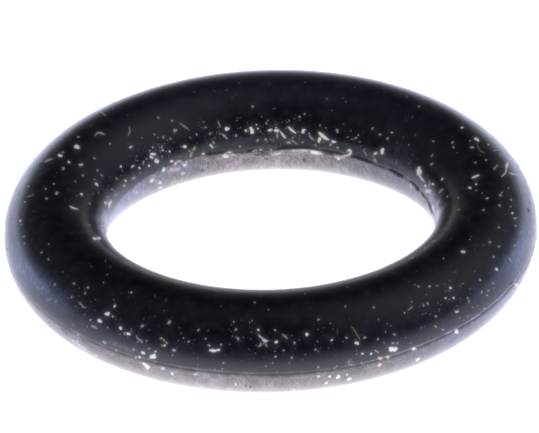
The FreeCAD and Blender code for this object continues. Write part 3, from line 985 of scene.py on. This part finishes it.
def make_camera(stage):
    """The camera, at the photograph's angle."""
    stand, right, up, forward, focal = camera_frame(stage)
    data = bpy.data.cameras.new("camera")
    set_values(data, {"lens": stage.lens, "sensor_width": SENSOR_WIDTH})
    set_values(data, {"clip_start": NEAREST, "clip_end": FARTHEST})
    camera = link_object("camera", data)
    turn = Matrix((right, up, -forward)).transposed().to_4x4()
    camera.matrix_world = Matrix.Translation(stand) @ turn
    bpy.context.scene.camera = camera


def paint_stains(ring, stage):
    """Marks on the ring's points the stains that the photograph shows, painted shade and painted highlights
    among them.
    """
    surface = ring_surface(ring)
    stand, right, up, forward, focal = camera_frame(stage)
    places = read_places(ring.data)
    film, scuff, haze = (read_marks(ring.data, name) for name in ("film", "scuff", "dust"))
    dull = np.zeros(len(places))
    rng = np.random.default_rng(STAIN_SEED)
    speckle = np.clip(rng.normal(1.0, STAIN_SPECKLE, len(places)), 0, 2)
    for kind, x, y, long, wide, turn, strength in STAINS:
        middle, normal, toward = land_on(surface, stage, x, y)
        off = (places - np.array(middle)) / pixel_size(stage)
        across, over = off @ np.array(right), off @ np.array(up)
        behind = off @ np.array(forward)
        turn = math.radians(turn)
        along = across * math.cos(turn) + over * math.sin(turn)
        aside = over * math.cos(turn) - across * math.sin(turn)
        spread = (2 * along / long) ** 2 + (2 * aside / wide) ** 2 + (behind / (STAIN_DEPTH * long)) ** 2
        amount = strength * speckle * np.clip(1.5 - spread, 0, 1)
        # Thicker film, in places a painted highlight
        if kind == "film":
            film = np.maximum(film, amount)
        elif kind == "bare":
            film = film * (1 - amount)
        # Painted shade of hollows and of dark rubber reflected there: film and haze go, and the rubber is
        # dulled
        elif kind == "dark":
            film = film * (1 - np.minimum(amount, 1))
            haze = haze * (1 - np.minimum(amount, 1))
            dull = np.maximum(dull, amount)
        # Torn rubber, partly a painted highlight where the lip catches light
        else:
            scuff = np.maximum(scuff, amount)
    write_marks(ring.data, "film", film)
    write_marks(ring.data, "scuff", scuff)
    write_marks(ring.data, "dust", haze)
    write_marks(ring.data, "dull", np.minimum(dull, 1))


def make_dust_material():
    """Dull dust and lint, in the colour kept on each piece of it."""
    material, tree, shader = new_material("dust")
    tint = add_node(tree, "ShaderNodeAttribute", attribute_name="tint").outputs["Color"]
    where = add_node(tree, "ShaderNodeTexCoord").outputs["Object"]
    shade = add_range(tree, add_noise(tree, where, [SHADE_SIZE] * 3, 1.0), SHADE_RANGE)
    feed(tree, shader, {"Base Color": add_scaled(tree, tint, shade), "Roughness": DUST_ROUGHNESS})
    return material


def dust_material():
    """The one dust material, made the first time that it is asked for."""
    return bpy.data.materials.get("dust") or make_dust_material()


def make_crumbs(seed, detail, count=8):
    """A few uneven crumbs of about unit radius, in a collection of their own."""
    rng = random.Random(seed)
    crumbs = bpy.data.collections.new("crumbs")
    for number in range(count):
        shape = bmesh.new()
        bmesh.ops.create_icosphere(shape, subdivisions=detail, radius=1.0)
        lobes = [
            (Vector([rng.gauss(0, 1) for axis in range(3)]).normalized(), rng.uniform(*LOBE_HEIGHTS))
            for lobe in range(CRUMB_LOBES)
        ]
        for corner in shape.verts:
            way = corner.co.normalized()
            swell = sum(height * max(0.0, way.dot(lobe)) ** 3 for lobe, height in lobes)
            corner.co = way * (CRUMB_SIZE + swell + rng.uniform(*CRUMB_BUMPS))
        mesh = bpy.data.meshes.new(f"crumb_{number}")
        shape.to_mesh(mesh)
        shape.free()
        crumbs.objects.link(bpy.data.objects.new(mesh.name, mesh))
    return crumbs


def clear_crumbs(crumbs):
    """Removes the loose crumbs once they are part of a mesh."""
    for crumb in list(crumbs.objects):
        bpy.data.objects.remove(crumb)
    bpy.data.collections.remove(crumbs)


def photo_ray(stage, x, y):
    """The camera's place and its line of sight through a pixel of the photograph."""
    stand, right, up, forward, focal = camera_frame(stage)
    across = (x + 0.5 - PHOTO_WIDTH / 2) / focal
    down = (y + 0.5 - PHOTO_HEIGHT / 2) / focal
    return stand, (forward + right * across - up * down).normalized()


def ring_surface(ring):
    """A search tree of the ring's faces."""
    return BVHTree.FromPolygons(
        [corner.co for corner in ring.data.vertices], [face.vertices for face in ring.data.polygons]
    )


def land_on(surface, stage, x, y):
    """Where a pixel's line of sight meets the rubber, the way out of it, and the way to the camera."""
    stand, ray = photo_ray(stage, x, y)
    place, normal, *rest = surface.ray_cast(stand, ray)
    if place is None:
        raise ValueError(f"There is no rubber at pixel {x}, {y}")
    return place, normal, -ray


def pixel_size(stage):
    """Size of a pixel of the photograph at the ring."""
    return stage.distance / camera_frame(stage)[4]


def lay_flake(surface, stage, dust, flake):
    """Place, half sizes, way up and way along of a flake that looks as the photograph shows it."""
    x, y, long, wide, turn = flake
    place, normal, toward = land_on(surface, stage, x, y)
    stand, right, up, forward, focal = camera_frame(stage)
    share = normal.dot(toward)
    if share < dust.steepest:
        upright = (normal - toward * share).normalized()
        normal = toward * dust.steepest + upright * math.sqrt(1 - dust.steepest**2)
        share = dust.steepest
    turn = math.radians(turn)
    along = right * math.cos(turn) + up * math.sin(turn)
    over = up * math.cos(turn) - right * math.sin(turn)
    along -= toward * (along.dot(normal) / share)
    over -= toward * (over.dot(normal) / share)
    half = pixel_size(stage) / 2
    thick = min(wide * half * 2 * dust.flake_thickness, dust.thickest)
    sizes = (long * half * along.length, wide * half * over.length, thick / 2)
    return place, sizes, normal, along.normalized()


def break_flake(flake, rng):
    """The overlapping bits that a flake is made of, so that its edge is ragged."""
    x, y, long, wide, turn = flake
    spread = 60 * wide / long
    bits = [(x, y, long * 0.85, wide * 0.8, turn + rng.uniform(-5, 5))]
    way = math.radians(turn)
    for bit in range(3):
        along, over = rng.uniform(-0.32, 0.32) * long, rng.uniform(-0.28, 0.28) * wide
        side_x = along * math.cos(way) - over * math.sin(way)
        side_y = -along * math.sin(way) - over * math.cos(way)
        size = rng.uniform(0.35, 0.6)
        bits.append((x + side_x, y + side_y, long * size, wide * size, turn + rng.uniform(-spread, spread)))
    return bits


def write_vectors(mesh, name, values):
    """Keeps a vector on each point of the mesh."""
    mesh.attributes.new(name, "FLOAT_VECTOR", "POINT").data.foreach_set("vector", np.ravel(values))


def write_tints(mesh, names, finish):
    """Keeps the colour of each point's dust on the mesh."""
    colours = [(*getattr(finish, name), 1.0) for name in names]
    mesh.attributes.new("tint", "FLOAT_COLOR", "POINT").data.foreach_set("color", np.ravel(colours))


def add_crumb_instances(tree, given, points, scale, up, along):
    """Puts one of the crumbs on each point, turned by its way up and its way along."""
    ways = {"Primary Axis": up, "Secondary Axis": along}
    turn = add_node(tree, "FunctionNodeAxesToRotation", ways, primary_axis="Z", secondary_axis="X")
    children = {"Separate Children": True, "Reset Children": True}
    crumbs = add_node(tree, "GeometryNodeCollectionInfo", {"Collection": given["Crumbs"], **children})
    inputs = {"Points": points, "Instance": crumbs, "Pick Instance": True, "Scale": scale, "Rotation": turn}
    return add_node(tree, "GeometryNodeInstanceOnPoints", inputs)


def make_flake_tree():
    """Geometry nodes that put a crumb on every point, turned and sized as the point says."""
    tree, given, identifiers = start_tree("PlaceFlakes", {"Crumbs": "Collection"})
    kept = [add_named(tree, name, "FLOAT_VECTOR") for name in ("half_size", "way_up", "way_along")]
    end_tree(tree, add_crumb_instances(tree, given, given["Geometry"], *kept), dust_material())
    return tree, identifiers


def make_flakes(ring, stage, dust, finish):
    """Builds the flakes and specks where the photograph shows them."""
    rng = random.Random(dust.seed)
    surface = ring_surface(ring)
    tints, laid = [], []
    for tint, flakes in FLAKES.items():
        for flake in flakes:
            for bit in break_flake(flake, rng):
                tints.append(tint)
                laid.append(lay_flake(surface, stage, dust, bit))
    for tint, specks in SPECKS.items():
        for x, y in specks:
            speck = (x, y, rng.uniform(*SPECK_LENGTHS), rng.uniform(*SPECK_WIDTHS), rng.uniform(0, 180))
            tints.append(tint)
            laid.append(lay_flake(surface, stage, dust, speck))
    mesh = bpy.data.meshes.new("flake_places")
    mesh.from_pydata([place for place, *rest in laid], [], [])
    for number, name in enumerate(("half_size", "way_up", "way_along"), start=1):
        write_vectors(mesh, name, [flake[number] for flake in laid])
    write_tints(mesh, tints, finish)
    carrier = link_object("flake_places", mesh)
    crumbs = make_crumbs(dust.seed, detail=2)
    tree, identifiers = make_flake_tree()
    flakes = run_nodes(carrier, tree, identifiers, {"Crumbs": crumbs}, "dust_flakes")
    clear_crumbs(crumbs)
    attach(flakes, "root")


def make_fibre_tree():
    """Geometry nodes that run a smooth thread through the points of each line."""
    tree, given, identifiers = start_tree("SweepFibres", {"Steps": "Int"})
    line = add_node(tree, "GeometryNodeMeshToCurve", {"Mesh": given["Geometry"]})
    smooth = add_node(tree, "GeometryNodeCurveSplineType", {"Curve": line}, spline_type="CATMULL_ROM")
    steps = add_node(tree, "GeometryNodeResampleCurve", {"Curve": smooth, "Count": given["Steps"]})
    section = add_node(tree, "GeometryNodeCurvePrimitiveCircle", {"Resolution": FIBRE_SIDES, "Radius": 1.0})
    inputs = {"Curve": steps, "Profile Curve": section, "Scale": add_named(tree, "half_width", "FLOAT")}
    sweep = add_node(tree, "GeometryNodeCurveToMesh", {**inputs, "Fill Caps": True})
    end_tree(tree, sweep, dust_material())
    return tree, identifiers


def make_fibres(ring, stage, dust, finish):
    """Builds the lint fibres where the photograph shows them, lying on the rubber."""
    surface = ring_surface(ring)
    rng = random.Random(dust.seed)
    places, edges, tints, halves = [], [], [], []
    for tint, width, path in FIBRES:
        half = width * pixel_size(stage) / 2
        for number, (x, y) in enumerate(path):
            place, normal, toward = land_on(surface, stage, x, y)
            if number:
                edges.append((len(places) - 1, len(places)))
            places.append(place + normal * half * FIBRE_LIFT)
            tints.append(tint)
            at_end = number in (0, len(path) - 1)
            halves.append(half * rng.uniform(*FIBRE_UNEVEN) * (dust.fibre_end if at_end else 1.0))
    mesh = bpy.data.meshes.new("fibre_lines")
    mesh.from_pydata(places, edges, [])
    write_marks(mesh, "half_width", np.array(halves))
    write_tints(mesh, tints, finish)
    carrier = link_object("fibre_lines", mesh)
    tree, identifiers = make_fibre_tree()
    fibres = run_nodes(carrier, tree, identifiers, {"Steps": dust.fibre_steps}, "lint_fibres")
    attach(fibres, "root")


def add_chance(tree, seed, kind, limits=()):
    """A number or a vector drawn by chance for each grain, between limits if they are given."""
    inputs = {"Seed": seed, **dict(enumerate(limits))}
    node = add_node(tree, "FunctionNodeRandomValue", inputs, data_type=kind)
    return node.outputs["Value"] if kind == "FLOAT" else node.outputs[0]


def make_grain_tree(finish):
    """Geometry nodes that scatter grains over the ring, in clumps, where dust settles."""
    sizes = dict.fromkeys(("Grains per area", "Clump size", "Grain size", "Smallest", "Rarity"), "Float")
    tree, given, identifiers = start_tree("ScatterGrains", {"Crumbs": "Collection", **sizes, "Seed": "Int"})
    place = add_node(tree, "GeometryNodeInputPosition").outputs["Position"]
    clumps = add_range(tree, add_noise(tree, place, given["Clump size"], CLUMP_DETAIL), CLUMP_RANGE)
    amount = add_maths(tree, "MULTIPLY", add_named(tree, "dust", "FLOAT"), clumps)
    amount = add_maths(tree, "MULTIPLY", amount, given["Grains per area"])
    inputs = {"Mesh": given["Geometry"], "Density": amount, "Seed": given["Seed"]}
    scatter = add_node(tree, "GeometryNodeDistributePointsOnFaces", inputs).outputs

    # Each grain's colour is drawn by chance
    stops = [(start, tuple(getattr(finish, name))) for name, start in GRAIN_TINTS]
    tints = add_ramp(tree, add_chance(tree, 1, "FLOAT"), stops, "CONSTANT")
    inputs = {"Name": "tint", "Geometry": scatter["Points"], "Value": tints}
    keep = add_node(tree, "GeometryNodeStoreNamedAttribute", inputs, data_type="FLOAT_COLOR", domain="POINT")

    # Small grains are many, and large ones few
    luck = add_maths(tree, "POWER", add_chance(tree, 2, "FLOAT"), given["Rarity"])
    size = add_node(tree, "ShaderNodeMapRange", {"Value": luck, "To Min": given["Smallest"]})
    half = add_maths(tree, "MULTIPLY", size.outputs["Result"], given["Grain size"])
    half = add_maths(tree, "MULTIPLY", half, 0.5)
    scale = add_scaled(tree, add_chance(tree, 3, "FLOAT_VECTOR", GRAIN_LIMITS), half)
    along = add_chance(tree, 4, "FLOAT_VECTOR", [(-1, -1, -1)])
    placed = add_crumb_instances(tree, given, keep, scale, scatter["Normal"], along)
    end_tree(tree, placed, dust_material())
    return tree, identifiers


def make_grains(ring, dust, finish):
    """Builds the fine grains that lie all over the ring."""
    carrier = link_object("grain_ground", ring.data.copy())
    crumbs = make_crumbs(dust.seed + 1, detail=1)
    tree, identifiers = make_grain_tree(finish)
    values = {
        "Crumbs": crumbs,
        "Grains per area": dust.grains_per_area,
        "Clump size": dust.clump_size,
        "Grain size": dust.grain_size,
        "Smallest": dust.smallest,
        "Rarity": dust.rarity,
        "Seed": dust.seed,
    }
    grains = run_nodes(carrier, tree, identifiers, values, "dust_grains")
    clear_crumbs(crumbs)
    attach(grains, "root")


def add_ramp(tree, fac, stops, interpolation="LINEAR"):
    """A ramp of colours or greys over a value from 0 to 1: returns its output."""
    ramp = add_node(tree, "ShaderNodeValToRGB", {"Fac": fac})
    ramp.color_ramp.interpolation = interpolation
    elements = ramp.color_ramp.elements
    while len(elements) < len(stops):
        elements.new(0.5)
    for element, (place, value) in zip(elements, stops):
        element.position = place
        element.color = (*value, 1) if isinstance(value, tuple) else (value, value, value, 1)
    return ramp.outputs["Color"]


def make_floor(stage):
    """The pale floor, lit from below as a light table is, and dimmer where it is seen at a low angle."""
    half = stage.floor_size / 2
    corners = [(-half, -half, 0), (half, -half, 0), (half, half, 0), (-half, half, 0)]
    mesh = bpy.data.meshes.new("floor")
    mesh.from_pydata(corners, [], [(0, 1, 2, 3)])
    material, tree, shader = new_material("pale_floor")
    level = add_node(tree, "ShaderNodeLayerWeight", {"Blend": 0.5}).outputs["Facing"]
    glow = add_ramp(tree, add_maths(tree, "SUBTRACT", 1.0, level), FLOOR_GLOW)
    where = add_node(tree, "ShaderNodeTexCoord").outputs["Object"]
    along = add_node(tree, "ShaderNodeSeparateXYZ", {"Vector": where}).outputs["Y"]
    first, last = FLOOR_SHARE[0][0], FLOOR_SHARE[-1][0]
    stops = [((place - first) / (last - first), share) for place, share in FLOOR_SHARE]
    share = add_ramp(tree, add_range(tree, along, (first * MM, last * MM, 0.0, 1.0)), stops)
    strength = add_maths(tree, "MULTIPLY", share, stage.floor_glow)
    feed(tree, shader, {"Base Color": FLOOR_COLOUR, "Roughness": FLOOR_ROUGHNESS})
    feed(tree, shader, {"Emission Color": glow, "Emission Strength": strength})
    mesh.materials.append(material)
    link_object("floor", mesh)


def make_world(stage):
    """Soft light from a dim room: brightest on the right, dark in front."""
    world = bpy.data.worlds.new("soft_light")
    bpy.context.scene.world = world
    world.use_nodes = True
    tree = world.node_tree
    tree.nodes.clear()
    where = add_node(tree, "ShaderNodeTexCoord").outputs["Generated"]
    x, y, z = add_node(tree, "ShaderNodeSeparateXYZ", {"Vector": where}).outputs
    height = add_maths(tree, "MULTIPLY", add_maths(tree, "ARCSINE", z), 2 / math.pi)
    flat = add_maths(tree, "SQRT", add_maths(tree, "SUBTRACT", 1.0001, add_maths(tree, "POWER", z, 2.0)))
    sides = {"right": (x, 1.0), "left": (x, -1.0), "back": (y, 1.0), "front": (y, -1.0)}
    glow = (0, 0, 0)
    for name, stops in SKY_GLOW.items():
        share = add_maths(tree, "DIVIDE", add_maths(tree, "MULTIPLY", *sides[name]), flat)
        share = add_maths(tree, "POWER", add_maths(tree, "MAXIMUM", share, 0.0), 2.0)
        inputs = {0: add_ramp(tree, height, stops), 1: share, 2: glow}
        glow = add_node(tree, "ShaderNodeVectorMath", inputs, operation="MULTIPLY_ADD").outputs["Vector"]
    background = add_node(tree, "ShaderNodeBackground", {"Color": glow, "Strength": stage.sky_glow})
    add_node(tree, "ShaderNodeOutputWorld", {"Surface": background})


def make_lamp(stage):
    """A wide soft lamp for the dust, left out of reflections so that the rubber stays dark."""
    light = bpy.data.lights.new("soft_lamp", "SUN")
    set_values(light, {"energy": stage.lamp_glow, "angle": LAMP_WIDTH})
    lamp = link_object("soft_lamp", light)
    lamp.rotation_euler = (LAMP_TILT, 0, 0)
    lamp.visible_glossy = False


def blur(tree, picture, width):
    """The picture spread over a width in pixels."""
    sizes = {"filter_type": "GAUSS", "size_x": width, "size_y": width}
    return add_node(tree, "CompositorNodeBlur", {"Image": picture}, **sizes).outputs["Image"]


def lay_over(tree, below, above, share, kind):
    """One picture or colour laid over a picture, in the given way."""
    inputs = {"Fac": share, 1: below, 2: above}
    return add_node(tree, "CompositorNodeMixRGB", inputs, blend_type=kind).outputs["Image"]


def add_veil():
    """The lens's softness, and its faint veil of the bright floor's light over the dark ring's edges."""
    scene = bpy.context.scene
    scene.use_nodes = True
    tree = scene.node_tree
    tree.nodes.clear()
    sharp = add_node(tree, "CompositorNodeRLayers").outputs["Image"]
    capped = lay_over(tree, sharp, (1, 1, 1, 1), 1.0, "DARKEN")
    picture = lay_over(tree, sharp, blur(tree, sharp, LENS_BLUR_WIDTH), LENS_BLUR_SHARE, "MIX")
    for width, share in VEIL:
        picture = lay_over(tree, picture, blur(tree, capped, width), share, "ADD")
    add_node(tree, "CompositorNodeComposite", {"Image": picture})


class ORING_OT_ring(bpy.types.Operator):
    """Builds the rubber ring with its seam"""

    bl_idname = "oring.ring"
    bl_label = "Rubber ring"

    def execute(self, context):
        make_ring(context.scene.oring_shape, context.scene.oring_finish)
        return {"FINISHED"}


class ORING_OT_stains(bpy.types.Operator):
    """Marks the ring's stains and torn places"""

    bl_idname = "oring.stains"
    bl_label = "Stains"

    def execute(self, context):
        paint_stains(bpy.data.objects["rubber_ring"], context.scene.oring_stage)
        return {"FINISHED"}


class ORING_OT_flakes(bpy.types.Operator):
    """Lays the flakes and specks of dust on the ring"""

    bl_idname = "oring.flakes"
    bl_label = "Dust flakes"

    def execute(self, context):
        scene = context.scene
        make_flakes(bpy.data.objects["rubber_ring"], scene.oring_stage, scene.oring_dust, scene.oring_finish)
        return {"FINISHED"}


class ORING_OT_fibres(bpy.types.Operator):
    """Lays the lint fibres on the ring"""

    bl_idname = "oring.fibres"
    bl_label = "Lint fibres"

    def execute(self, context):
        scene = context.scene
        make_fibres(bpy.data.objects["rubber_ring"], scene.oring_stage, scene.oring_dust, scene.oring_finish)
        return {"FINISHED"}


class ORING_OT_grains(bpy.types.Operator):
    """Scatters fine grains over the ring"""

    bl_idname = "oring.grains"
    bl_label = "Dust grains"

    def execute(self, context):
        scene = context.scene
        make_grains(bpy.data.objects["rubber_ring"], scene.oring_dust, scene.oring_finish)
        return {"FINISHED"}


class ORING_OT_stage(bpy.types.Operator):
    """Sets the camera, the pale floor and the soft light"""

    bl_idname = "oring.stage"
    bl_label = "Stage"

    def execute(self, context):
        stage = context.scene.oring_stage
        make_camera(stage)
        make_floor(stage)
        make_world(stage)
        make_lamp(stage)
        add_veil()
        context.scene.view_settings.view_transform = "Standard"
        return {"FINISHED"}


class ORING_PT_panel(bpy.types.Panel):
    """Lists the steps of the o-ring in the sidebar"""

    bl_label = "O-ring"
    bl_idname = "ORING_PT_panel"
    bl_space_type = "VIEW_3D"
    bl_region_type = "UI"
    bl_category = "O-ring"

    def draw(self, context):
        for operator in OPERATORS:
            self.layout.operator(operator.bl_idname)


GROUPS = {"oring_shape": RingShape, "oring_finish": Finish, "oring_dust": Dust, "oring_stage": Stage}
OPERATORS = (
    ORING_OT_stage, ORING_OT_ring, ORING_OT_stains, ORING_OT_flakes, ORING_OT_fibres, ORING_OT_grains,
)


def register():
    for group in GROUPS.values():
        bpy.utils.register_class(group)
    for name, group in GROUPS.items():
        setattr(bpy.types.Scene, name, PointerProperty(type=group))
    for made in (*OPERATORS, ORING_PT_panel):
        bpy.utils.register_class(made)


def unregister():
    for made in (ORING_PT_panel, *reversed(OPERATORS)):
        bpy.utils.unregister_class(made)
    for name, group in reversed(GROUPS.items()):
        delattr(bpy.types.Scene, name)
        bpy.utils.unregister_class(group)


def main():
    register()
    bpy.ops.oring.stage()
    bpy.ops.oring.ring()
    bpy.ops.oring.stains()
    bpy.ops.oring.flakes()
    bpy.ops.oring.fibres()
    bpy.ops.oring.grains()
    bpy.context.view_layer.update()


if __name__ == "__main__":
    main()
